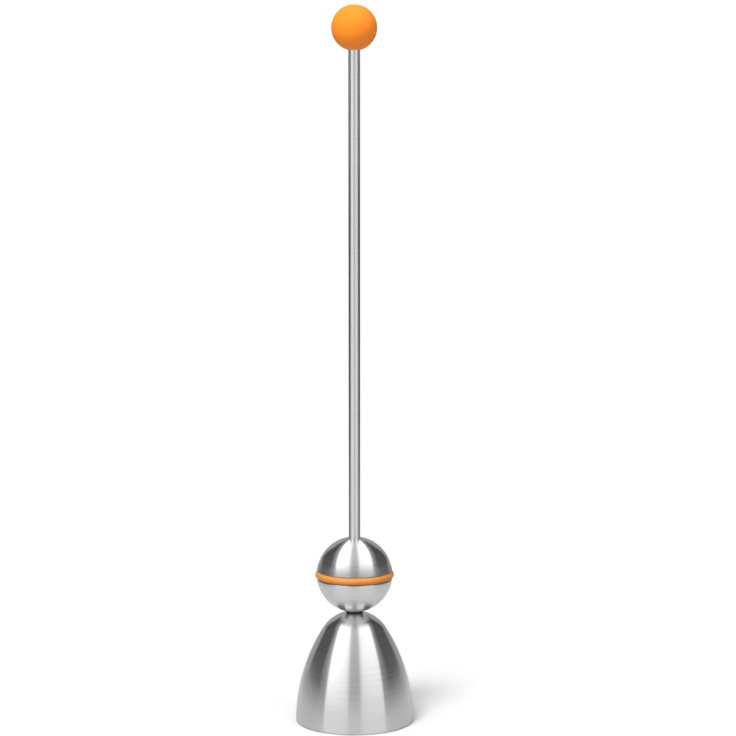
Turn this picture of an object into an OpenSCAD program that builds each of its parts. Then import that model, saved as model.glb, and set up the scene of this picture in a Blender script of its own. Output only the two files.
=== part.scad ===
// Egg topper: a hollow steel bell on a slim rod. A steel ball slides on the rod, is lifted to the
// knob and dropped, and its blow drives the rim of the bell through the egg's shell.
// Millimetres. +Z runs up the rod, and the origin is the centre of the rim that it stands on.

/* [Overall] */
// Height from the rim of the bell to the top of the knob
total_h = 211; // [190:1:240]

/* [Bell] */
// Outer diameter at the rim
bell_d = 35; // [32:0.5:40]
// Height of the dome's highest point before its top is faced flat
dome_h = 33; // [30:0.1:40]
// Radius of the dome at the top of the bell
dome_r = 11.1; // [9.5:0.1:12.5]
// Wall thickness
bell_wall = 1.2; // [0.8:0.1:1.6]
// Diameter of the flat faced on the crown
crown_face_d = 5.6; // [5.2:0.1:7]
// Thickness of the crown between its flat top and its flat seat inside
crown_t = 1.6; // [1.4:0.1:2.4]
// Width of the flat land that is left at the rim
rim_land = 0.5; // [0.4:0.05:0.7]
// Height of the bevel inside the rim, which makes the edge bite
rim_bevel_h = 1; // [0.6:0.1:2]
// Chamfer that breaks the outer corner of the rim
rim_break = 0.15; // [0.05:0.05:0.2]

/* [Rod] */
// Diameter of the rod
rod_d = 3.5; // [3.3:0.1:4]
// Outer diameter of the thread at each end of the rod
thread_d = 3; // [2.8:0.1:3]
// Distance from one thread crest to the next
thread_pitch = 0.5; // [0.4:0.05:0.7]
// Depth of the thread
thread_depth = 0.27; // [0.2:0.01:0.35]
// Length of the thread that holds the bell
bell_thread_l = 7.4; // [6.8:0.1:7.8]
// Length of the thread that holds the knob
knob_thread_l = 5; // [3:0.1:5.5]

/* [Ball weight] */
// Diameter of the ball
ball_d = 22.4; // [20:0.1:26]
// Diameter of the flat at each pole of the ball
ball_face_d = 5; // [4.8:0.1:6]
// Running clearance between the rod and the bore, on the radius
bore_gap = 0.08; // [0.04:0.01:0.1]
// Chamfer at each end of the bore
bore_chamfer = 0.25; // [0.1:0.05:0.4]
// Clearance below the ball where it rests, and above it where it stops
stop_gap = 0.04; // [0.02:0.01:0.1]

/* [Grip ring] */
// Thickness of the rubber ring
ring_t = 2.2; // [1.8:0.1:4]
// How far the ring stands out of the ball
ring_proud = 0.45; // [0.2:0.05:0.8]
// Clearance between the ring and its groove
ring_gap = 0.04; // [0.02:0.01:0.1]
// Chamfer on the two edges of the groove
groove_chamfer = 0.2; // [0.1:0.05:0.3]

/* [Washers] */
// Outer diameter of the strike washer under the ball
strike_washer_d = 5; // [4.6:0.1:5.2]
// Thickness of the strike washer
strike_washer_t = 0.5; // [0.4:0.1:1]
// Outer diameter of the flat washer inside the bell
flat_washer_d = 6; // [5.6:0.1:6.2]
// Thickness of the flat washer
flat_washer_t = 0.5; // [0.4:0.1:0.8]
// Outer diameter of the lock washer
lock_washer_d = 5.8; // [5.4:0.1:6]
// Thickness of the lock washer
lock_washer_t = 0.7; // [0.6:0.1:0.9]
// Width of the cut through the lock washer
lock_split = 0.5; // [0.3:0.1:0.8]
// Clearance of the washers and of the bell's hole round the thread, on the radius
hole_gap = 0.06; // [0.04:0.01:0.1]

/* [Cap nut] */
// Distance across the flats of the hexagon
nut_af = 5.5; // [5.2:0.1:5.8]
// Height of the hexagon
nut_hex_h = 2.4; // [2:0.1:3]
// How far inside the flats the round edge of the nut's faces lies
nut_face_in = 0.1; // [0.05:0.05:0.15]
// Diameter of the domed cap
nut_cap_d = 5; // [4.6:0.1:5.2]
// Height of the whole nut
nut_h = 6; // [5.9:0.1:7]
// Clearance between the crests of one thread and the roots of the other
thread_gap = 0.04; // [0.03:0.01:0.06]

/* [Knob] */
// Diameter of the knob
knob_d = 13.3; // [13:0.1:20]
// Diameter of the flat under the knob
knob_face_d = 4.2; // [4.1:0.1:6]
// Depth of the rod in the knob before its thread begins
knob_socket_l = 1.2; // [0.8:0.1:2]
// Clearance of the knob round the rod, on the radius
knob_gap = 0.05; // [0.03:0.01:0.1]

/* [Knob insert] */
// Outer diameter of the brass insert over its knurls
insert_d = 5; // [4.6:0.1:5.4]
// Length of the insert
insert_l = 6; // [5.6:0.1:7]
// Number of knurls round the insert
insert_knurls = 24; // [16:1:32]
// Height of a knurl
knurl_h = 0.2; // [0.15:0.05:0.3]
// How deep the knurls bite into the knob
knurl_bite = 0.1; // [0.05:0.01:0.12]
// Width of the groove round the middle of the insert
insert_groove = 1; // [0.6:0.1:1.4]

/* [Hidden] */
$fn = 96;

// How far a cutting shape runs past the face that it cuts
past = 1;

// How far the dome stands out of the flank's arc where they meet, so that the two cross there
dome_lap = 0.005;

bell_r = bell_d / 2;
// Centre of the dome, and the flank's arc that is upright at the rim and runs into the dome
dome_z = dome_h - dome_r;
touch_r = dome_r - dome_lap;
flank_r = (pow(bell_r, 2) + pow(dome_z, 2) - pow(touch_r, 2)) / (2 * (bell_r - touch_r));
flank_x = bell_r - flank_r;
// Upward part of the unit line from the flank's centre through the dome's
touch_up = dome_z / (flank_r - touch_r);
// Flat top of the crown, and the flat seat below it inside the bell
crown_z = dome_z + sqrt(pow(dome_r, 2) - pow(crown_face_d / 2, 2));
seat_z = crown_z - crown_t;

// The stack on the rod's lower end, from the crown down
shoulder_z = crown_z + strike_washer_t;
flat_washer_z = seat_z - flat_washer_t;
lock_washer_z = flat_washer_z - lock_washer_t;
nut_z = lock_washer_z - nut_h;
hole_r = thread_d / 2 + hole_gap;

// The ball rests on the strike washer
ball_r = ball_d / 2;
ball_half_h = sqrt(pow(ball_r, 2) - pow(ball_face_d / 2, 2));
ball_z = shoulder_z + stop_gap + ball_half_h;
bore_r = rod_d / 2 + bore_gap;
ring_x = ball_r + ring_proud - ring_t / 2;
groove_half = ring_t / 2 + ring_gap;
// Radius of the ball's surface at the edges of the groove
groove_edge_r = sqrt(pow(ball_r, 2) - pow(groove_half, 2));

// The knob, from its flat face up
knob_r = knob_d / 2;
knob_z = total_h - knob_r;
knob_face_z = knob_z - sqrt(pow(knob_r, 2) - pow(knob_face_d / 2, 2));
rod_top_z = knob_face_z + knob_socket_l;

// How far the ball can be lifted before it meets the knob
ball_travel = knob_face_z - stop_gap - (ball_z + ball_half_h);
echo(ball_travel = ball_travel);

STEEL = [0.74, 0.74, 0.75];
FASTENER = [0.66, 0.67, 0.69];
BLACK_STEEL = [0.13, 0.13, 0.14];
BRASS = [0.80, 0.66, 0.36];
ORANGE = [0.98, 0.58, 0.12];
RING_ORANGE = [0.93, 0.55, 0.22];

// The bell's half outline from the axis out, drawn inset from the outer surface
module bell_outline(inset) {
    intersection() {
        translate([flank_x, 0]) circle(flank_r - inset);
        square([bell_r, (flank_r - inset) * touch_up]);
    }
    intersection() {
        translate([0, dome_z]) circle(dome_r - inset);
        square([bell_r, dome_h]);
    }
}

// A saw-toothed rod from the shoulder at z0 along the axis, towards dir, made larger all round by gap.
// It starts a little way inside what carries it. Rod and nut draw it from the same shoulder, so that
// their crests and roots line up.
module thread(z0, dir, length, gap = 0) {
    crest = thread_d / 2 + gap;
    root = crest - thread_depth;
    turns = floor(length / thread_pitch);
    start = [[0, -past], [root, -past]];
    points = [
        for (i = [0 : turns - 1]) each [
            [root, i * thread_pitch],
            [crest, (i + 0.5) * thread_pitch]
        ]
    ];
    end = [[root, turns * thread_pitch], [0, turns * thread_pitch]];
    translate([0, 0, z0])
        mirror([0, 0, dir < 0 ? 1 : 0])
            rotate_extrude()
                polygon(concat(start, points, end));
}

// A flat ring that stands on z
module washer(z, outer_d, thickness) {
    translate([0, 0, z])
        difference() {
            cylinder(h = thickness, r = outer_d / 2);
            translate([0, 0, -past]) cylinder(h = thickness + 2 * past, r = hole_r);
        }
}

module bell() {
    color(STEEL)
        rotate_extrude()
            difference() {
                intersection() {
                    bell_outline(0);
                    square([bell_r, crown_z]);
                }
                intersection() {
                    bell_outline(bell_wall);
                    square([bell_r, seat_z]);
                }
                rim_bevel();
                rim_corner();
                square([hole_r, crown_z + past]);
            }
}

// The sloping cut inside the rim
module rim_bevel() {
    slope = (bell_wall - rim_land) / rim_bevel_h;
    inner = bell_r - bell_wall;
    polygon([
        [inner - past * slope, -past],
        [bell_r - rim_land + past * slope, -past],
        [inner - past * slope, rim_bevel_h + past]
    ]);
}

// The cut that breaks the outer corner of the rim
module rim_corner() {
    polygon([
        [bell_r - rim_break - past, -past],
        [bell_r + past, -past],
        [bell_r + past, rim_break + past]
    ]);
}

module strike_washer() {
    color(BLACK_STEEL) washer(crown_z, strike_washer_d, strike_washer_t);
}

module flat_washer() {
    color(FASTENER) washer(flat_washer_z, flat_washer_d, flat_washer_t);
}

// A spring lock washer: a flat ring with one slanting cut through it
module lock_washer() {
    slant = 25;
    color(FASTENER)
        difference() {
            washer(lock_washer_z, lock_washer_d, lock_washer_t);
            translate([lock_washer_d / 2, 0, lock_washer_z + lock_washer_t / 2])
                rotate([slant, 0, 0])
                    cube([lock_washer_d - 2 * past, lock_split, 4 * lock_washer_t], center = true);
        }
}

// A domed nut with its open end up, against the lock washer
module cap_nut() {
    hex_z = nut_z + nut_h - nut_hex_h;
    hex_r = nut_af / sqrt(3);
    cap_r = nut_cap_d / 2;
    // The hexagon's corners are turned away at 30 degrees, by a shape wider than they are
    face_r = nut_af / 2 - nut_face_in;
    turned_r = hex_r + past;
    turned_h = (turned_r - face_r) * tan(30);
    color(FASTENER)
        difference() {
            union() {
                intersection() {
                    translate([0, 0, hex_z]) cylinder(h = nut_hex_h, r = hex_r, $fn = 6);
                    rotate_extrude()
                        polygon([
                            [0, hex_z], [face_r, hex_z],
                            [turned_r, hex_z + turned_h], [turned_r, nut_z + nut_h - turned_h],
                            [face_r, nut_z + nut_h], [0, nut_z + nut_h]
                        ]);
                }
                rotate_extrude() {
                    // The neck reaches into the hexagon
                    translate([0, nut_z + cap_r]) square([cap_r, hex_z - nut_z - cap_r + past]);
                    intersection() {
                        translate([0, nut_z + cap_r]) circle(cap_r);
                        translate([0, nut_z]) square(cap_r);
                    }
                }
            }
            thread(shoulder_z, -1, bell_thread_l + thread_pitch, thread_gap);
        }
}

module rod() {
    color(STEEL) {
        translate([0, 0, shoulder_z]) cylinder(h = rod_top_z - shoulder_z, r = rod_d / 2);
        thread(shoulder_z, -1, bell_thread_l);
        thread(rod_top_z, 1, knob_thread_l);
    }
}

module ball_weight() {
    color(STEEL)
        translate([0, 0, ball_z])
            rotate_extrude()
                difference() {
                    intersection() {
                        circle(ball_r);
                        translate([0, -ball_half_h]) square([ball_r, 2 * ball_half_h]);
                    }
                    translate([0, -ball_r]) square([bore_r, 2 * ball_r]);
                    for (side = [-1, 1]) {
                        bore_mouth(side);
                        groove_edge(side);
                    }
                    ring_groove();
                }
}

// The countersink at one end of the ball's bore
module bore_mouth(side) {
    polygon([
        [bore_r - past, side * (ball_half_h - bore_chamfer - past)],
        [bore_r - past, side * (ball_half_h + past)],
        [bore_r + bore_chamfer + past, side * (ball_half_h + past)]
    ]);
}

// The chamfer on one edge of the ring's groove
module groove_edge(side) {
    polygon([
        [groove_edge_r - groove_chamfer - past, side * (groove_half - past)],
        [groove_edge_r + past, side * (groove_half - past)],
        [groove_edge_r + past, side * (groove_half + groove_chamfer + past)]
    ]);
}

// A round-bottomed groove round the ball's middle
module ring_groove() {
    translate([ring_x, -groove_half]) square([ball_r, 2 * groove_half]);
    intersection() {
        translate([ring_x, 0]) circle(groove_half);
        translate([ring_x - groove_half, -groove_half]) square([groove_half, 2 * groove_half]);
    }
}

module grip_ring() {
    color(RING_ORANGE)
        translate([0, 0, ball_z])
            rotate_extrude()
                translate([ring_x, 0]) circle(ring_t / 2);
}

module knob() {
    pocket_r = insert_d / 2 - knurl_bite;
    color(ORANGE)
        difference() {
            intersection() {
                translate([0, 0, knob_z]) sphere(knob_r);
                translate([0, 0, knob_face_z]) cylinder(h = knob_d, r = knob_r + past);
            }
            translate([0, 0, knob_face_z - past])
                cylinder(h = knob_socket_l + 2 * past, r = rod_d / 2 + knob_gap);
            translate([0, 0, rod_top_z]) cylinder(h = insert_l, r = pocket_r);
        }
}

// A star outline whose points are the knurls
module knurl_outline() {
    step = 360 / insert_knurls;
    polygon([
        for (i = [0 : insert_knurls - 1]) each [
            insert_d / 2 * [cos(i * step), sin(i * step)],
            (insert_d / 2 - knurl_h) * [cos((i + 0.5) * step), sin((i + 0.5) * step)]
        ]
    ]);
}

// A brass bush with two knurled bands and a groove between them
module knob_insert() {
    band_l = (insert_l - insert_groove) / 2;
    groove_r = insert_d / 2 - 2 * knurl_h;
    color(BRASS)
        difference() {
            translate([0, 0, rod_top_z]) {
                cylinder(h = insert_l, r = groove_r);
                for (z = [0, band_l + insert_groove])
                    translate([0, 0, z]) linear_extrude(band_l) knurl_outline();
            }
            thread(rod_top_z, 1, knob_thread_l + thread_pitch, thread_gap);
        }
}

bell();
strike_washer();
flat_washer();
lock_washer();
cap_nut();
rod();
ball_weight();
grip_ring();
knob();
knob_insert();
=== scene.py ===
"""The looks of the egg topper: turned steel, orange rubber and orange plastic round one upright axis.

Every piece is a polar surface. Its rows run along the piece's outline and its columns run round the axis.
Lengths are metres in the frame of the solids, with the bell's rim on z = 0 and the axis on x = y = 0.
"""

import math

import bpy
import numpy as np
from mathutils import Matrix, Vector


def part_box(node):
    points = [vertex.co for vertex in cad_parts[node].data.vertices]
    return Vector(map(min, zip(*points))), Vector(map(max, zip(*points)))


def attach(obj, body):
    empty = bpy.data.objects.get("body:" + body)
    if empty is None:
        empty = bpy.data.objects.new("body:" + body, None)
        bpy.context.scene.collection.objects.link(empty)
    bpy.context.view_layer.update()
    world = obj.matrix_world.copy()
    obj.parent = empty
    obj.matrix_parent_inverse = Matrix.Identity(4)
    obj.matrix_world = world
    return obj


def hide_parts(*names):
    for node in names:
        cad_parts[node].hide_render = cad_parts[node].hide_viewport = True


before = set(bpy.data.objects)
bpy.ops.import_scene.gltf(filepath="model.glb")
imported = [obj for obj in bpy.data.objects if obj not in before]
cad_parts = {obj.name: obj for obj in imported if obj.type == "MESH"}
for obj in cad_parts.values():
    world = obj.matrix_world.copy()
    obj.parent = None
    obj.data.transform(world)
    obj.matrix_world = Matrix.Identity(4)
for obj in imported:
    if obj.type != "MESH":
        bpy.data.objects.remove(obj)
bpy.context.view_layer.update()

MM = 0.001
FULL_TURN = 2 * math.pi
QUARTER_TURN = math.pi / 2
WHITE = (1, 1, 1, 1)

# ---------------------------------------------------------------------------
# Camera: the photograph's own, found from the outlines of the rim, the ring and the rod

PICTURE_W = 736
CAMERA_DISTANCE = 680 * MM
CAMERA_HEIGHT = 189 * MM
CAMERA_PITCH = math.radians(6.99)
CAMERA_FOCAL_PX = 2338
# Where the axis crosses the picture, in pixels from its left edge
AXIS_X_PX = 354.3
# In millimetres, the unit of Blender's lenses
SENSOR_W = 36


def add_camera():
    """Looks along +Y from in front of the object, tipped down, and turned to put the axis left of
    centre."""
    data = bpy.data.cameras.new("camera")
    data.sensor_width = SENSOR_W
    data.lens = CAMERA_FOCAL_PX * SENSOR_W / PICTURE_W
    camera = bpy.data.objects.new("camera", data)
    camera.location = (0, -CAMERA_DISTANCE, CAMERA_HEIGHT)
    turn = math.atan((PICTURE_W / 2 - AXIS_X_PX) / CAMERA_FOCAL_PX)
    camera.rotation_euler = (QUARTER_TURN - CAMERA_PITCH, 0, -turn)
    bpy.context.scene.collection.objects.link(camera)
    bpy.context.scene.camera = camera


# ---------------------------------------------------------------------------
# Sizes, as the solids have them

BELL_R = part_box("bell")[1].x
CROWN_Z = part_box("bell")[1].z
BELL_WALL = 1.2 * MM
DOME_R = 11.1 * MM
DOME_Z = 21.9 * MM
CROWN_FACE_R = 2.8 * MM
CROWN_T = 1.6 * MM
HOLE_R = 1.56 * MM
RIM_LAND = 0.5 * MM
RIM_BEVEL_H = 1 * MM

ROD_R = 1.75 * MM
ROD_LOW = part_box("rod")[0].z
ROD_CHAMFER = 0.25 * MM
SHOULDER_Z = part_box("strike_washer")[1].z
THREAD_R = 1.5 * MM
THREAD_PITCH = 0.5 * MM
THREAD_DEPTH = 0.27 * MM
KNOB_THREAD_L = 5 * MM

BALL_R = 11.2 * MM
BALL_Z = sum(corner.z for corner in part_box("ball_weight")) / 2
BALL_FACE_R = 2.5 * MM
BORE_R = 1.83 * MM
BORE_CHAMFER = 0.25 * MM
RING_LOW, RING_HIGH = (corner.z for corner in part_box("grip_ring"))
RING_R = (RING_HIGH - RING_LOW) / 2
RING_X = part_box("grip_ring")[1].x - RING_R
RING_GAP = 0.04 * MM
GROOVE_HALF = RING_R + RING_GAP
GROOVE_CHAMFER = 0.2 * MM

KNOB_LOW, KNOB_TOP = (corner.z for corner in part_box("knob"))
KNOB_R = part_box("knob")[1].x
KNOB_Z = KNOB_TOP - KNOB_R
KNOB_FACE_R = 2.1 * MM
SOCKET_R = 1.8 * MM
SOCKET_DEPTH = 1.2 * MM
SOCKET_TOP = KNOB_LOW + SOCKET_DEPTH
POCKET_R = 2.4 * MM
POCKET_DEPTH = 6 * MM
POCKET_TOP = SOCKET_TOP + POCKET_DEPTH

NUT_LOW, NUT_HIGH = (corner.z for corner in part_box("cap_nut"))
NUT_AF = 5.5 * MM
NUT_HEX_H = 2.4 * MM
NUT_CAP_R = 2.5 * MM
NUT_FACE_INSET = 0.1 * MM
NUT_FACE_R = NUT_AF / 2 - NUT_FACE_INSET
NUT_CHAMFER = math.radians(30)
NUT_GAP = 0.04 * MM
NUT_MOUTH_R = 0.2 * MM
NUT_MOUTH_H = 0.15 * MM
NUT_HOLE_DEPTH = 7.5 * MM
NUT_HOLE_END = SHOULDER_Z - NUT_HOLE_DEPTH

# What the rounding of each corner takes off both of its sides
CROWN_ROUND = 0.12 * MM
HOLE_ROUND = 0.1 * MM
SEAT_ROUND = 0.3 * MM
BEVEL_ROUND = 0.2 * MM
LAND_ROUND = 0.05 * MM
RIM_ROUND = 0.3 * MM
ROD_ROUND = 0.12 * MM
LIP_ROUND = 0.08 * MM
FINE_ROUND = 0.05 * MM
POCKET_ROUND = 0.1 * MM
SOCKET_ROUND = 0.12 * MM
KNOB_FACE_ROUND = 0.25 * MM
WASHER_ROUND = 0.08 * MM

# Columns round the axis
BELL_COLUMNS = 256
RING_COLUMNS = 256
BALL_COLUMNS = 224
KNOB_COLUMNS = 160
WASHER_COLUMNS = 128
NUT_COLUMNS = 96
ROD_COLUMNS = 72

# ---------------------------------------------------------------------------
# Outlines, as arrays of (radius, height) rows that run anticlockwise, with the solid on their left

# Two points closer than this are one
SAME_POINT = 1e-9
# A curve keeps its own points from this many cuts away from its ends
CUT_CLEARANCE = 1.2


def line(start, end, steps=6):
    """Points from start to end at even steps: the start times the share of the way that is left, plus the
    end times the share that is done."""
    share = np.linspace(0, 1, steps)[:, None]
    return np.array(start) * (1 - share) + np.array(end) * share


def arc(centre, radius, start, end, steps):
    """Points on a circle from angle start to angle end, in radians from the outward direction: the centre
    plus the radius times the angle's cosine and sine."""
    angle = np.linspace(start, end, steps)[:, None]
    return np.array(centre) + radius * np.hstack([np.cos(angle), np.sin(angle)])


def distances(curve):
    """How far along the curve each of its points lies: the running sum of the steps between them."""
    return np.concatenate([[0], np.cumsum(np.linalg.norm(np.diff(curve, axis=0), axis=1))])


def trimmed(curve, cut_start, cut_end):
    """The curve without its first cut_start and its last cut_end of length. Its new ends lie on the
    straight lines between its old points."""
    along = distances(curve)
    far_enough = (along > cut_start * CUT_CLEARANCE) & (along < along[-1] - cut_end * CUT_CLEARANCE)
    wanted = np.concatenate([[cut_start], along[far_enough], [along[-1] - cut_end]])
    return np.stack([np.interp(wanted, along, curve[:, axis]) for axis in (0, 1)], 1)


def joined(curves, corners, steps=7):
    """Joins curves that meet end to start. corners[k] is the length taken off both curves where curve k
    meets the next, and the gap is filled by the parabola whose control point is their meeting point: with a
    share of the way left and a share done, it is the square of the first times its start, plus twice their
    product times the control point, plus the square of the second times its end. With one corner fewer than
    there are curves the outline stays open, from the axis to the axis."""
    is_closed = len(corners) == len(curves)
    cuts = [*corners] if is_closed else [*corners, 0]
    pieces = [trimmed(curve, cuts[k - 1], cuts[k]) for k, curve in enumerate(curves)]
    share = np.linspace(0, 1, steps)[1:-1, None]
    left = 1 - share
    parts = []
    for k, piece in enumerate(pieces):
        parts.append(piece)
        if cuts[k] > 0:
            finish = pieces[(k + 1) % len(pieces)][0]
            parts.append(piece[-1] * left**2 + 2 * curves[k][-1] * share * left + finish * share**2)
    points = np.vstack(parts)
    apart = np.linalg.norm(points - np.roll(points, 1, axis=0), axis=1)
    return points[apart > SAME_POINT]


def bell_outline():
    """A long arc that is upright at the rim runs into the dome's arc, up to the flat crown, and the same
    arcs come back inside at the wall's thickness, down to the bevel and the land that stands on the table.
    The long arc's radius is the one with which it touches the dome's arc: the square of the rim's radius,
    plus that of the height of the dome's centre, less that of the dome's radius, over twice what the rim's
    radius is more than the dome's."""
    flank_r = (BELL_R**2 + DOME_Z**2 - DOME_R**2) / (2 * (BELL_R - DOME_R))
    flank_x = BELL_R - flank_r
    join = math.asin(DOME_Z / (flank_r - DOME_R))
    seat_z = CROWN_Z - CROWN_T
    inner_dome = DOME_R - BELL_WALL
    inner_flank = flank_r - BELL_WALL
    crown_turn = math.acos(CROWN_FACE_R / DOME_R)
    seat_turn = math.asin((seat_z - DOME_Z) / inner_dome)
    seat_r = inner_dome * math.cos(seat_turn)
    bevel_turn = math.asin(RIM_BEVEL_H / inner_flank)
    inner_foot = (flank_x + inner_flank * math.cos(bevel_turn), RIM_BEVEL_H)
    curves = [
        arc((flank_x, 0), flank_r, 0, join, steps=110),
        arc((0, DOME_Z), DOME_R, join, crown_turn, steps=50),
        line((CROWN_FACE_R, CROWN_Z), (HOLE_R, CROWN_Z)),
        line((HOLE_R, CROWN_Z), (HOLE_R, seat_z)),
        line((HOLE_R, seat_z), (seat_r, seat_z)),
        arc((0, DOME_Z), inner_dome, seat_turn, join, steps=36),
        arc((flank_x, 0), inner_flank, join, bevel_turn, steps=60),
        line(inner_foot, (BELL_R - RIM_LAND, 0)),
        line((BELL_R - RIM_LAND, 0), (BELL_R, 0)),
    ]
    crown = [CROWN_ROUND, HOLE_ROUND, HOLE_ROUND, SEAT_ROUND]
    rim = [BEVEL_ROUND, LAND_ROUND, RIM_ROUND]
    return joined(curves, [0, *crown, 0, *rim])


def ball_outline():
    """A circle with a flat at each pole, a bore with countersunk mouths and a round-bottomed groove."""
    flat_turn = math.acos(BALL_FACE_R / BALL_R)
    flat_h = BALL_R * math.sin(flat_turn)
    edge_r = math.sqrt(BALL_R**2 - GROOVE_HALF**2)
    lip_h = GROOVE_HALF + GROOVE_CHAMFER
    lip_turn = math.asin(lip_h / BALL_R)
    lip_r = BALL_R * math.cos(lip_turn)
    wall_r = edge_r - GROOVE_CHAMFER
    mouth_r = BORE_R + BORE_CHAMFER
    mouth_h = flat_h - BORE_CHAMFER
    curves = [
        arc((0, 0), BALL_R, -flat_turn, -lip_turn, steps=80),
        line((lip_r, -lip_h), (wall_r, -GROOVE_HALF)),
        line((wall_r, -GROOVE_HALF), (RING_X, -GROOVE_HALF)),
        arc((RING_X, 0), GROOVE_HALF, 3 * QUARTER_TURN, QUARTER_TURN, steps=24),
        line((RING_X, GROOVE_HALF), (wall_r, GROOVE_HALF)),
        line((wall_r, GROOVE_HALF), (lip_r, lip_h)),
        arc((0, 0), BALL_R, lip_turn, flat_turn, steps=80),
        line((BALL_FACE_R, flat_h), (mouth_r, flat_h)),
        line((mouth_r, flat_h), (BORE_R, mouth_h)),
        line((BORE_R, mouth_h), (BORE_R, -mouth_h), steps=12),
        line((BORE_R, -mouth_h), (mouth_r, -flat_h)),
        line((mouth_r, -flat_h), (BALL_FACE_R, -flat_h)),
    ]
    groove = [LIP_ROUND, FINE_ROUND, 0, 0, FINE_ROUND, LIP_ROUND]
    bore = [LIP_ROUND, *[FINE_ROUND] * 4, LIP_ROUND]
    return joined(curves, groove + bore) + [0, BALL_Z]


def ring_outline(steps=72, squash=0.004):
    """A circle, a hair out of round where the two halves of its mould met: its radius is less by squash
    times the squared sine of twice the turn."""
    turn = np.linspace(0, FULL_TURN, steps, endpoint=False)
    reach = RING_R * (1 - squash * np.sin(2 * turn) ** 2)
    return np.stack([RING_X + reach * np.cos(turn), BALL_Z + reach * np.sin(turn)], 1)


def knob_outline():
    """Down the insert's pocket, out at the socket and the flat face, and up a circle to the top."""
    face_turn = -math.acos(KNOB_FACE_R / KNOB_R)
    curves = [
        line((0, POCKET_TOP), (POCKET_R, POCKET_TOP)),
        line((POCKET_R, POCKET_TOP), (POCKET_R, SOCKET_TOP)),
        line((POCKET_R, SOCKET_TOP), (SOCKET_R, SOCKET_TOP)),
        line((SOCKET_R, SOCKET_TOP), (SOCKET_R, KNOB_LOW)),
        line((SOCKET_R, KNOB_LOW), (KNOB_FACE_R, KNOB_LOW)),
        arc((0, KNOB_Z), KNOB_R, face_turn, QUARTER_TURN, steps=100),
    ]
    return joined(curves, [POCKET_ROUND, POCKET_ROUND, POCKET_ROUND, SOCKET_ROUND, KNOB_FACE_ROUND])


def washer_outline(node_name):
    """A rectangle with rounded corners, from the hole that the rod's thread passes to the outside of the
    solid of that name, and as high as that solid."""
    low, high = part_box(node_name)
    curves = [
        line((high.x, low.z), (high.x, high.z)),
        line((high.x, high.z), (HOLE_R, high.z)),
        line((HOLE_R, high.z), (HOLE_R, low.z)),
        line((HOLE_R, low.z), (high.x, low.z)),
    ]
    return joined(curves, [WASHER_ROUND] * 4)


# ---------------------------------------------------------------------------
# Meshes


def swept(outline, columns):
    """An outline's radii and heights, each row the same in every column."""
    return outline[:, :1].repeat(columns, axis=1), outline[:, 1:].repeat(columns, axis=1)


def polar_mesh(name, radii, heights):
    """Point (row, column) lies at radii[row, column] from the axis and heights[row, column] up, turned by
    the column's share of a full turn. The rows close into a loop, or into a pole at each end where a radius
    is 0. The attribute along says how far along the outline a point lies."""
    rows, columns = radii.shape
    turn = np.arange(columns) * FULL_TURN / columns
    points = np.stack([radii * np.cos(turn), radii * np.sin(turn), heights], -1)
    along = distances(np.stack([radii[:, 0], heights[:, 0]], 1)).repeat(columns)
    index = np.arange(rows * columns).reshape(rows, columns)
    points = points.reshape(-1, 3)
    fans = []
    if radii[0].max() < SAME_POINT:
        keep = np.ones(rows * columns, bool)
        keep[1:columns] = keep[-columns:-1] = False
        points, along = points[keep], along[keep]
        inner = index[1:-1] - (columns - 1)
        beside = np.roll(inner, -1, 1)
        last = len(points) - 1
        fans += np.stack([np.zeros(columns, int), beside[0], inner[0]], 1).tolist()
        fans += np.stack([np.full(columns, last), inner[-1], beside[-1]], 1).tolist()
        lower, upper = inner[:-1], inner[1:]
    else:
        lower, upper = index, np.roll(index, -1, 0)
    quads = np.stack([lower, np.roll(lower, -1, 1), np.roll(upper, -1, 1), upper], -1).reshape(-1, 4)
    mesh = bpy.data.meshes.new(name)
    mesh.from_pydata(points.tolist(), [], quads.tolist() + fans)
    mesh.attributes.new("along", "FLOAT", "POINT").data.foreach_set("value", along)
    mesh.polygons.foreach_set("use_smooth", np.ones(len(mesh.polygons), bool))
    mesh.update()
    piece = bpy.data.objects.new(name, mesh)
    bpy.context.scene.collection.objects.link(piece)
    return piece


def turned(name, outline, columns):
    """The surface that one outline sweeps round the axis."""
    return polar_mesh(name, *swept(outline, columns))


THREAD_ROWS_PER_PITCH = 12
THREAD_FADE_ROWS = 6
# How far short of a shoulder a thread ends
THREAD_RUN_OUT = 0.1 * MM


def thread_rows(radius, start, end):
    """Rows from height start to height end at one radius, close enough together to show a thread."""
    count = max(2, round(abs(end - start) / THREAD_PITCH * THREAD_ROWS_PER_PITCH))
    return line((radius, start), (radius, end), count)


def thread_depth(heights):
    """How deep a one-start thread lies under its crest: twice the depth times the distance to a whole
    number from the height in pitches less the column's share of a turn. It fades evenly to nothing over the
    first and the last rows."""
    rows, columns = heights.shape
    phase = heights / THREAD_PITCH - np.arange(columns) / columns
    row = np.arange(rows)
    fade = np.clip(np.minimum(row, row[::-1]) / THREAD_FADE_ROWS, 0, 1)
    return 2 * THREAD_DEPTH * np.abs(phase - np.round(phase)) * fade[:, None]


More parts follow.
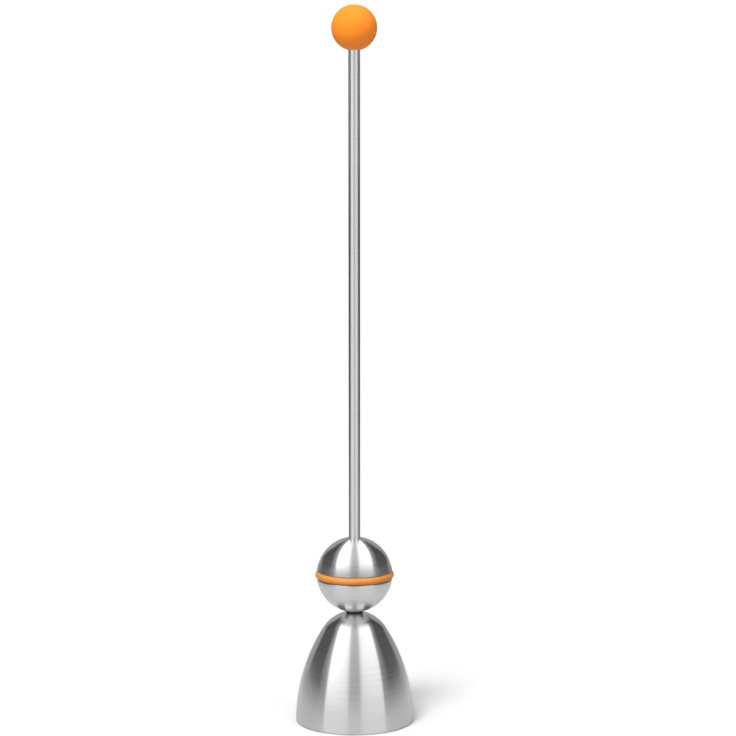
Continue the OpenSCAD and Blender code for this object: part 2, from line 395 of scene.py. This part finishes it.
def make_rod(end_steps=4, shoulder_steps=3, plain_steps=160):
    """Across the lower end, up its thread to the shoulder, up the plain rod, in to the upper thread at the
    socket's top, and up it and across the upper end."""
    end_r = THREAD_R - ROD_CHAMFER
    knob_thread_top = SOCKET_TOP + KNOB_THREAD_L
    low_thread = thread_rows(THREAD_R, ROD_LOW + ROD_CHAMFER, SHOULDER_Z - THREAD_RUN_OUT)
    high_thread = thread_rows(THREAD_R, SOCKET_TOP + THREAD_RUN_OUT, knob_thread_top - ROD_CHAMFER)
    outline = np.vstack([
        line((0, ROD_LOW), (end_r, ROD_LOW), end_steps),
        low_thread,
        line((THREAD_R, SHOULDER_Z), (ROD_R - ROD_ROUND, SHOULDER_Z), shoulder_steps),
        line((ROD_R, SHOULDER_Z + ROD_ROUND), (ROD_R, SOCKET_TOP - ROD_ROUND), plain_steps),
        line((ROD_R - ROD_ROUND, SOCKET_TOP), (THREAD_R, SOCKET_TOP), shoulder_steps),
        high_thread,
        line((end_r, knob_thread_top), (0, knob_thread_top), end_steps),
    ])
    radii, heights = swept(outline, ROD_COLUMNS)
    low_rows = slice(end_steps, end_steps + len(low_thread))
    high_rows = slice(-end_steps - len(high_thread), -end_steps)
    for rows in (low_rows, high_rows):
        radii[rows] -= thread_depth(heights[rows])
    return polar_mesh("rod_turned", radii, heights)


def make_cap_nut(step=0.1 * MM, side_rows=10):
    """Up a half round cap and a neck to a hexagon, then down a threaded blind hole. The hexagon's radius at
    a turn is half its width over the cosine of the turn from the middle of the nearest flat. Its corners
    are cut back, above and below, by the radius past the face's circle times the tangent of the chamfer's
    angle. Where two stretches meet, their rows lie up to a step apart, which blunts the edge."""
    turn = np.arange(NUT_COLUMNS) * FULL_TURN / NUT_COLUMNS
    flat_turn = FULL_TURN / 6
    from_flat = np.abs((turn % flat_turn) - flat_turn / 2)
    hex_r = NUT_AF / 2 / np.cos(from_flat)
    hex_low = NUT_HIGH - NUT_HEX_H
    cut = (hex_r - NUT_FACE_R) * math.tan(NUT_CHAMFER)
    cap_z = NUT_LOW + NUT_CAP_R
    crest_r = THREAD_R + NUT_GAP
    share = np.linspace(0, 1, side_rows)[:, None]
    side = hex_r[None].repeat(side_rows, 0), (hex_low + cut) * (1 - share) + (NUT_HIGH - cut) * share
    cap = arc((0, cap_z), NUT_CAP_R, -QUARTER_TURN, 0, steps=28)
    neck = line((NUT_CAP_R, cap_z + step), (NUT_CAP_R, hex_low), steps=8)
    foot = line((NUT_CAP_R + step / 2, hex_low), (NUT_FACE_R, hex_low), steps=3)
    top = line((NUT_FACE_R, NUT_HIGH), (crest_r + NUT_MOUTH_R, NUT_HIGH), steps=5)
    hole_r, hole_z = swept(thread_rows(crest_r, NUT_HIGH - NUT_MOUTH_H, NUT_HOLE_END), NUT_COLUMNS)
    end = line((crest_r - step, NUT_HOLE_END), (0, NUT_HOLE_END), steps=4)
    parts = [
        *(swept(rows, NUT_COLUMNS) for rows in (cap, neck, foot)),
        side,
        swept(top, NUT_COLUMNS),
        (hole_r - thread_depth(hole_z), hole_z),
        swept(end, NUT_COLUMNS),
    ]
    radii, heights = (np.vstack(column) for column in zip(*parts))
    radii[0] = 0
    return polar_mesh("cap_nut_turned", radii, heights)


# ---------------------------------------------------------------------------
# Materials


def node(tree, kind, inputs=None, **settings):
    """Adds a shader node. inputs pairs the name or number of an input with a value, or with the output that
    feeds it, and settings are the node's own."""
    made = tree.nodes.new(kind)
    for key, value in settings.items():
        setattr(made, key, value)
    for key, value in (inputs or {}).items():
        if isinstance(value, bpy.types.NodeSocket):
            tree.links.new(value, made.inputs[key])
        else:
            made.inputs[key].default_value = value
    return made


def maths(tree, operation, first, second=0.0):
    """The result of a sum on numbers or outputs."""
    return node(tree, "ShaderNodeMath", {0: first, 1: second}, operation=operation).outputs[0]


def between(tree, share, low, high):
    """A number that goes from low to high as share goes from 0 to 1."""
    return node(tree, "ShaderNodeMapRange", {"Value": share, "To Min": low, "To Max": high}).outputs[0]


def blend_colours(tree, share, first, second):
    """A colour that goes from first to second as share goes from 0 to 1."""
    inputs = {"Factor": share, "A": (*first, 1), "B": (*second, 1)}
    return node(tree, "ShaderNodeMix", inputs, data_type="RGBA").outputs["Result"]


def scaled(shade, factor):
    """A colour times a factor, with no part over 1."""
    return [min(1, part * factor) for part in shade]


def empty_tree(owner):
    """The node tree of a material or a world, with nothing in it."""
    owner.use_nodes = True
    owner.node_tree.nodes.clear()
    return owner.node_tree


def new_material(name, constants):
    """A material with a principled shader, whose constants are set on its own sockets."""
    material = bpy.data.materials.new(name)
    tree = empty_tree(material)
    shader = node(tree, "ShaderNodeBsdfPrincipled", constants)
    node(tree, "ShaderNodeOutputMaterial", {"Surface": shader.outputs[0]})
    return material, tree, shader


def object_place(tree):
    """The place of a point in the piece's own frame, which is that of the solids."""
    return node(tree, "ShaderNodeTexCoord").outputs["Object"]


def noise(tree, vector, scale, detail=2.0, roughness=0.5):
    """A cloudy pattern from 0 to 1."""
    inputs = {"Vector": vector, "Scale": scale, "Detail": detail, "Roughness": roughness}
    return node(tree, "ShaderNodeTexNoise", inputs).outputs[0]


def add_bump(tree, shader, height, strength, depth):
    """Tips the shader's normals as a relief of that height and depth would."""
    bump = node(tree, "ShaderNodeBump", {"Strength": strength, "Distance": depth, "Height": height})
    tree.links.new(bump.outputs[0], shader.inputs["Normal"])


# Marks of the tool: how far apart they lie along the outline, and how long they run round the axis
FINE_MARKS = (0.12 * MM, 40 * MM)
COARSE_MARKS = (0.45 * MM, 20 * MM)
MARK_STRENGTH = 0.35
# How far the coarse marks take the roughness and the shade up and down
GLOSS_SPREAD = 0.055
SHADE_SPREAD = 0.07
# How much rougher the steel is, and how much darker its colour is painted as shade, in the middle of a
# painted shade band
SHADE_BAND_ROUGHNESS = 0.22
PAINTED_SHADE_FACTOR = 0.75
# The middle and the reach of a painted shade band that lies below every piece
NO_PAINTED_SHADE = (-1.0, 1 * MM)
# An anisotropic shader takes turns as shares of a full one
ACROSS_MARKS = 0.25


def tool_marks(tree, spacing, length):
    """Marks that run round the axis: a cloudy pattern of the place across the axis over a length, and of
    the way along the outline over a spacing."""
    across = node(tree, "ShaderNodeSeparateXYZ", {0: object_place(tree)})
    along = node(tree, "ShaderNodeAttribute", attribute_name="along").outputs["Fac"]
    vector = node(tree, "ShaderNodeCombineXYZ", {
        0: maths(tree, "DIVIDE", across.outputs[0], length),
        1: maths(tree, "DIVIDE", across.outputs[1], length),
        2: maths(tree, "DIVIDE", along, spacing),
    })
    return noise(tree, vector.outputs[0], scale=1.0, detail=3.0, roughness=0.6)


def painted_shade_share(tree, middle, reach):
    """The share of painted shade: 1 at one height, falling smoothly to 0 at reach above and below it."""
    height = node(tree, "ShaderNodeSeparateXYZ", {0: object_place(tree)}).outputs[2]
    apart = maths(tree, "ABSOLUTE", maths(tree, "SUBTRACT", height, middle))
    inputs = {"Value": apart, "From Max": reach, "To Min": 1.0, "To Max": 0.0}
    return node(tree, "ShaderNodeMapRange", inputs, interpolation_type="SMOOTHSTEP").outputs[0]


def turned_steel(name, shade, roughness, streak, mark_depth, painted_shade_band=NO_PAINTED_SHADE):
    """Steel from the lathe. Marks round the axis draw every reflection out across them, towards the poles,
    and the coarser ones change its gloss and shade a little from band to band. At one height, by the
    middle and the reach that its last argument gives, its colour is darkened as painted shade and its
    roughness is raised."""
    constants = {"Metallic": 1.0, "Anisotropic": streak, "Anisotropic Rotation": ACROSS_MARKS}
    material, tree, shader = new_material(name, constants)
    fine = tool_marks(tree, *FINE_MARKS)
    coarse = tool_marks(tree, *COARSE_MARKS)
    # A band of painted shade at one height: darker colour, and raised roughness
    shade_share = painted_shade_share(tree, *painted_shade_band)
    gloss = between(tree, coarse, roughness - GLOSS_SPREAD, roughness + GLOSS_SPREAD)
    gloss = maths(tree, "ADD", gloss, maths(tree, "MULTIPLY", shade_share, SHADE_BAND_ROUGHNESS))
    tree.links.new(gloss, shader.inputs["Roughness"])
    clean = blend_colours(tree, coarse, scaled(shade, 1 - SHADE_SPREAD), scaled(shade, 1 + SHADE_SPREAD))
    # Painted shade: the colour is darkened where the band's share is high
    shaded = node(tree, "ShaderNodeMix", {"Factor": shade_share, "A": clean}, data_type="RGBA")
    shaded.inputs["B"].default_value = (*scaled(shade, PAINTED_SHADE_FACTOR), 1)
    tree.links.new(shaded.outputs["Result"], shader.inputs["Base Color"])
    add_bump(tree, shader, maths(tree, "ADD", fine, coarse), MARK_STRENGTH, mark_depth)
    tangent = node(tree, "ShaderNodeTangent", direction_type="RADIAL", axis="Z")
    tree.links.new(tangent.outputs[0], shader.inputs["Tangent"])
    return material


# Plain metal's blotches and scuffs, and the mouldings' clouds of colour, as how many go to the metre
BLOTCHES = 900
SCUFFS = 5200
CLOUDS = 260
# What a blotch adds to the roughness at least and at most, and its darkest shade over the plain one
BLOTCH_GLOSS = (-0.08, 0.1)
BLOTCH_SHADE = 0.88
SCUFF_STRENGTH = 0.2
SCUFF_DEPTH = 0.01 * MM
# How far the grain takes a moulding's roughness up and down
GRAIN_SPREAD = 0.06
GRAIN_STRENGTH = 0.3


def plain_metal(name, shade, roughness):
    """Bright metal with faint blotches, darker and glossier in places, and fine scuffs."""
    material, tree, shader = new_material(name, {"Metallic": 1.0})
    place = object_place(tree)
    blotches = noise(tree, place, BLOTCHES, detail=3)
    scuffs = noise(tree, place, SCUFFS)
    gloss = between(tree, blotches, *(roughness + change for change in BLOTCH_GLOSS))
    tree.links.new(gloss, shader.inputs["Roughness"])
    blotched = blend_colours(tree, blotches, scaled(shade, BLOTCH_SHADE), shade)
    tree.links.new(blotched, shader.inputs["Base Color"])
    add_bump(tree, shader, scuffs, SCUFF_STRENGTH, SCUFF_DEPTH)
    return material


def moulded(name, shade, deep, roughness, grain, grain_depth):
    """A matte moulding: a little uneven in colour between shade and deep, with a fine grain."""
    material, tree, shader = new_material(name, {})
    place = object_place(tree)
    clouds = noise(tree, place, CLOUDS)
    speckle = noise(tree, place, 1 / grain)
    tree.links.new(blend_colours(tree, clouds, deep, shade), shader.inputs["Base Color"])
    gloss = between(tree, speckle, roughness - GRAIN_SPREAD, roughness + GRAIN_SPREAD)
    tree.links.new(gloss, shader.inputs["Roughness"])
    add_bump(tree, shader, speckle, GRAIN_STRENGTH, grain_depth)
    return material


# ---------------------------------------------------------------------------
# Stage

FLOOR_R = 4.0
FLOOR_Z = -0.02 * MM
FLOOR_SHADE = 0.43
FLOOR_CAMERA_SHADE = 0.69
FLOOR_ROUGHNESS = 0.3
FLOOR_SHEEN = 0.5
FLOOR_GLOSS_LIFT = 0.07

UNDERLIGHT_R = 16 * MM
UNDERLIGHT_Z = -0.01 * MM
UNDERLIGHT_LEVEL = 0.6

SCREEN_R = 150 * MM
SCREEN_COLUMNS = 41
CURB_H = 25 * MM
FLAG_H = 150 * MM
HIGH_FLAG_FOOT = 60 * MM
HIGH_FLAG_H = 200 * MM
# Each screen's name, its sides in degrees from the camera's way, its foot and top, and its brightness
SCREENS = (
    ("front_curb", (0, 12), (0, CURB_H), 0.62),
    ("strip_curb", (12, 59), (0, CURB_H), 0.85),
    ("side_curb", (59, 180), (0, CURB_H), 0.4),
    ("flag", (84, 126), (CURB_H, FLAG_H), 0.1),
    ("high_flag", (126, 143), (HIGH_FLAG_FOOT, HIGH_FLAG_H), 0.06),
)


def add_stage(name, points, faces, material, hidden_from=()):
    """Adds a mesh that isn't a piece of the object, and hides it from some kinds of ray."""
    mesh = bpy.data.meshes.new(name)
    mesh.from_pydata(points.reshape(-1, 3).tolist(), [], faces.tolist())
    mesh.materials.append(material)
    staged = bpy.data.objects.new(name, mesh)
    for ray in hidden_from:
        setattr(staged, "visible_" + ray, False)
    bpy.context.scene.collection.objects.link(staged)


def disc(radius, height, columns):
    """The points and the one face of a level disc. A point lies at the radius times its turn's cosine and
    sine, and at one height."""
    turn = np.arange(columns) * FULL_TURN / columns
    points = np.stack([radius * np.cos(turn), radius * np.sin(turn), np.full(columns, height)], 1)
    return points, np.arange(columns)[None]


def glow(name, level):
    """A material that shines evenly and mirrors nothing."""
    material = bpy.data.materials.new(name)
    tree = empty_tree(material)
    light = node(tree, "ShaderNodeEmission", {"Color": WHITE, "Strength": level})
    node(tree, "ShaderNodeOutputMaterial", {"Surface": light.outputs[0]})
    return material


def add_floor():
    """A grey round floor that is clear from below. The camera sees it paler, and white outside the shadow.
    In reflections it has a satin sheen and is lifted a little."""
    material = bpy.data.materials.new("floor_white")
    tree = empty_tree(material)
    rays = node(tree, "ShaderNodeLightPath")
    lit = node(tree, "ShaderNodeBsdfPrincipled", {
        "Base Color": between(tree, rays.outputs["Is Camera Ray"], FLOOR_SHADE, FLOOR_CAMERA_SHADE),
        "Roughness": FLOOR_ROUGHNESS,
        "Specular IOR Level": maths(tree, "MULTIPLY", rays.outputs["Is Glossy Ray"], FLOOR_SHEEN),
        "Emission Color": WHITE,
        "Emission Strength": maths(tree, "MULTIPLY", rays.outputs["Is Glossy Ray"], FLOOR_GLOSS_LIFT),
    })
    clear = node(tree, "ShaderNodeBsdfTransparent")
    side = node(tree, "ShaderNodeNewGeometry").outputs["Backfacing"]
    mix = node(tree, "ShaderNodeMixShader", {0: side, 1: lit.outputs[0], 2: clear.outputs[0]})
    node(tree, "ShaderNodeOutputMaterial", {"Surface": mix.outputs[0]})
    add_stage("floor", *disc(FLOOR_R, FLOOR_Z, columns=96), material)


def add_underlight():
    """A pale disc on the floor under the bell, so that views from below show what is inside it. The camera
    doesn't see it."""
    hidden_from = ("camera", "transmission", "volume_scatter", "shadow")
    shape = disc(UNDERLIGHT_R, UNDERLIGHT_Z, columns=64)
    add_stage("underlight", *shape, glow("underlight", UNDERLIGHT_LEVEL), hidden_from)


def add_screen(name, sides, heights, level):
    """Two upright sheets on a circle round the object, one the mirror image of the other, as far round as
    sides and as high as heights say. At a side, a point lies at the circle's radius times the side's sine
    to the right, or to the left, and its cosine towards the camera. Only glossy surfaces see them."""
    side = np.radians(np.linspace(*sides, SCREEN_COLUMNS))
    points = np.empty((2, 2, SCREEN_COLUMNS, 3))
    points[0, :, :, 0] = SCREEN_R * np.sin(side)
    points[1, :, :, 0] = -SCREEN_R * np.sin(side)
    points[..., 1] = -SCREEN_R * np.cos(side)
    points[..., 2] = np.array(heights)[:, None]
    index = np.arange(4 * SCREEN_COLUMNS).reshape(2, 2, SCREEN_COLUMNS)
    low, high = index[:, 0], index[:, 1]
    faces = np.stack([low[:, :-1], low[:, 1:], high[:, 1:], high[:, :-1]], -1).reshape(-1, 4)
    hidden_from = ("camera", "diffuse", "transmission", "volume_scatter", "shadow")
    add_stage(name, points, faces, glow(name, level), hidden_from)


# ---------------------------------------------------------------------------
# Light

# The studio's brightness by the side on which an upright round mirror shows it, in degrees from its front
STUDIO = (
    (0, 0.56), (5, 0.6), (7.5, 0.98), (10, 1.2), (14, 1.3), (22, 1.42), (31.5, 1.5), (33.5, 0.44),
    (39, 0.29), (44, 0.14), (49, 0.07), (53, 0.08), (57, 0.19), (61, 0.33), (66, 0.46), (72, 0.5),
    (90, 0.5),
)
STUDIO_END = 90
STUDIO_MOST = 2.0
STUDIO_PLAIN = STUDIO[-1][1]
# How much brighter the studio is on the left than in the middle, as a share
STUDIO_LEAN = 0.13
# How high over the horizon the camera is, seen from the middle of the ball and the bell
STUDIO_CAMERA_RISE = math.radians(12)
# The room's light at the horizon and overhead, as shares of those levels
STUDIO_LOW = 0.64
STUDIO_HIGH = 1.24
# How wide the studio's pattern is at the horizon and overhead, as shares of those sides
STUDIO_LOW_SPLAY = 0.93
STUDIO_HIGH_SPLAY = 1.05
# The pattern gives way to plain light round the direction that only the poles show to the camera
STUDIO_CALM_NEAR = math.radians(14)
STUDIO_CALM_FAR = math.radians(36)
# What the camera itself sees past the floor's edge, a little over white
STUDIO_CAMERA_LEVEL = 1.06

SUN_SIDE = math.radians(28)
SUN_RISE = math.radians(52)
SUN_SPREAD = math.radians(22)
SUN_STRENGTH = 2.5


def studio_ramp(tree, side):
    """The studio's level over its most, by the side in radians."""
    ramp = node(tree, "ShaderNodeValToRGB", {0: maths(tree, "DIVIDE", side, math.radians(STUDIO_END))})
    stops = ramp.color_ramp.elements
    while len(stops) < len(STUDIO):
        stops.new(0.5)
    for stop, (degrees, level) in zip(stops, STUDIO):
        stop.position = degrees / STUDIO_END
        stop.color = (*[level / STUDIO_MOST] * 3, 1)
    return ramp.outputs[0]


def add_studio():
    """The room round the object. Its light depends only on the side of a turned upright piece that mirrors
    it to the camera: the side of direction r is the side of r + v, with v the way to the camera. So two
    tall soft boxes, the gap between them and black flags beside them run on overhead, and turned steel
    shows them as bands that meet at its poles. They are dimmer and narrower near the horizon. Where they
    would all meet, behind the object, the room is plain. The camera itself sees plain white."""
    world = bpy.data.worlds.new("studio")
    bpy.context.scene.world = world
    tree = empty_tree(world)
    way = node(tree, "ShaderNodeTexCoord").outputs["Generated"]
    x, y, z = node(tree, "ShaderNodeSeparateXYZ", {0: way}).outputs
    towards = maths(tree, "SUBTRACT", math.cos(STUDIO_CAMERA_RISE), y)
    splay = between(tree, z, STUDIO_LOW_SPLAY, STUDIO_HIGH_SPLAY)
    side = maths(tree, "DIVIDE", maths(tree, "ARCTAN2", maths(tree, "ABSOLUTE", x), towards), splay)
    pole_way = (0, math.cos(STUDIO_CAMERA_RISE), math.sin(STUDIO_CAMERA_RISE))
    near = node(tree, "ShaderNodeVectorMath", {0: way, 1: pole_way}, operation="DOT_PRODUCT")
    calm = node(tree, "ShaderNodeMapRange", {
        "Value": near.outputs["Value"],
        "From Min": math.cos(STUDIO_CALM_FAR),
        "From Max": math.cos(STUDIO_CALM_NEAR),
    }, interpolation_type="SMOOTHSTEP").outputs[0]
    pattern = node(tree, "ShaderNodeMix", {
        "Factor": calm,
        "A": studio_ramp(tree, side),
        "B": STUDIO_PLAIN / STUDIO_MOST,
    }).outputs["Result"]
    lean = maths(tree, "ADD", maths(tree, "MULTIPLY", x, -STUDIO_LEAN), 1.0)
    most = maths(tree, "MULTIPLY", lean, STUDIO_MOST)
    most = maths(tree, "MULTIPLY", most, between(tree, z, STUDIO_LOW, STUDIO_HIGH))
    room = maths(tree, "MULTIPLY", pattern, most)
    camera = node(tree, "ShaderNodeLightPath").outputs["Is Camera Ray"]
    seen = node(tree, "ShaderNodeMix", {"Factor": camera, "A": room, "B": STUDIO_CAMERA_LEVEL})
    back = node(tree, "ShaderNodeBackground", {"Color": WHITE, "Strength": seen.outputs["Result"]})
    node(tree, "ShaderNodeOutputWorld", {"Surface": back.outputs[0]})


def add_sun():
    """A broad lamp far off at the front left, whose soft shadow falls to the right and back. The steel
    doesn't mirror it."""
    data = bpy.data.lights.new("sun", "SUN")
    data.angle = SUN_SPREAD
    data.energy = SUN_STRENGTH
    sun = bpy.data.objects.new("sun", data)
    sun.rotation_euler = (QUARTER_TURN - SUN_RISE, 0, -SUN_SIDE)
    sun.visible_glossy = False
    bpy.context.scene.collection.objects.link(sun)


# ---------------------------------------------------------------------------
# The object

STEEL = (0.76, 0.76, 0.76)
FASTENER_STEEL = (0.62, 0.62, 0.63)
SPRING_STEEL = (0.5, 0.5, 0.51)
# Near black for the strike washer, as painted shade for the dark gap between ball and bell
PAINTED_SHADE_BLACK = (0.05, 0.05, 0.055)
BRASS = (0.72, 0.53, 0.24)
ORANGE, DEEP_ORANGE = (1.0, 0.262, 0.008), (0.96, 0.248, 0.007)
RUBBER, DEEP_RUBBER = (0.64, 0.255, 0.05), (0.6, 0.22, 0.042)
# Middle and reach of the painted contact shade along the foot of the rim, where it stands on the table
PAINTED_RIM_SHADE = (0, 0.5 * MM)
# Middle and reach of the painted shade on the ball just above its ring
PAINTED_SHADE_ROUND_RING = (BALL_Z + 1.5 * MM, 3.8 * MM)


def dress(piece, body, nodes, material):
    """Gives a piece its body and its material, and hides the solids that it stands for."""
    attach(piece, body)
    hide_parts(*nodes)
    piece.data.materials.append(material)


def repaint(node_name, material):
    """Gives a solid that stays its material."""
    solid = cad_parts[node_name]
    solid.data.materials.clear()
    solid.data.materials.append(material)


def build_bell():
    """The bell."""
    finish = {"roughness": 0.18, "streak": 1.0, "mark_depth": 0.002 * MM}
    # The rim's foot is darkened as painted contact shade
    steel = turned_steel("bell_steel", STEEL, painted_shade_band=PAINTED_RIM_SHADE, **finish)
    dress(turned("bell_turned", bell_outline(), BELL_COLUMNS), "stem", ["bell"], steel)


def build_weight():
    """The ball, and the ring in its groove."""
    finish = {"roughness": 0.2, "streak": 1.0, "mark_depth": 0.0015 * MM}
    # The ball is darkened just above its ring as painted shade
    steel = turned_steel("ball_steel", STEEL, painted_shade_band=PAINTED_SHADE_ROUND_RING, **finish)
    ball = turned("ball_turned", ball_outline(), BALL_COLUMNS)
    dress(ball, "weight", ["ball_weight"], steel)
    finish = {"roughness": 0.44, "grain": 0.1 * MM, "grain_depth": 0.006 * MM}
    rubber = moulded("ring_orange", RUBBER, DEEP_RUBBER, **finish)
    ring = turned("ring_moulded", ring_outline(), RING_COLUMNS)
    dress(ring, "weight", ["grip_ring"], rubber)


def build_knob():
    """The knob, and the brass insert in it."""
    finish = {"roughness": 0.66, "grain": 0.16 * MM, "grain_depth": 0.01 * MM}
    orange = moulded("knob_orange", ORANGE, DEEP_ORANGE, **finish)
    dress(turned("knob_moulded", knob_outline(), KNOB_COLUMNS), "stem", ["knob"], orange)
    repaint("knob_insert", plain_metal("brass", BRASS, roughness=0.3))


def build_rod():
    """The rod."""
    steel = turned_steel("rod_steel", STEEL, roughness=0.22, streak=1.0, mark_depth=0.0015 * MM)
    dress(make_rod(), "stem", ["rod"], steel)


def build_fasteners():
    """The cap nut and the three washers on the rod's lower thread."""
    finish = {"roughness": 0.32, "streak": 0.5, "mark_depth": 0.004 * MM}
    steel = turned_steel("fastener_steel", FASTENER_STEEL, **finish)
    # The strike washer is near black as painted shade: it stands for the dark gap where the ball rests on
    # the bell
    black = turned_steel("black_steel", PAINTED_SHADE_BLACK, roughness=0.4, streak=0.3, mark_depth=0.003 * MM)
    dress(make_cap_nut(), "stem", ["cap_nut"], steel)
    strike = turned("strike_washer_turned", washer_outline("strike_washer"), WASHER_COLUMNS)
    dress(strike, "stem", ["strike_washer"], black)
    flat = turned("flat_washer_turned", washer_outline("flat_washer"), WASHER_COLUMNS)
    dress(flat, "stem", ["flat_washer"], steel)
    repaint("lock_washer", plain_metal("spring_steel", SPRING_STEEL, roughness=0.35))


bpy.context.scene.view_settings.view_transform = "Standard"
add_camera()
add_floor()
add_studio()
for screen in SCREENS:
    add_screen(*screen)
add_underlight()
add_sun()
build_bell()
build_weight()
build_knob()
build_rod()
build_fasteners()
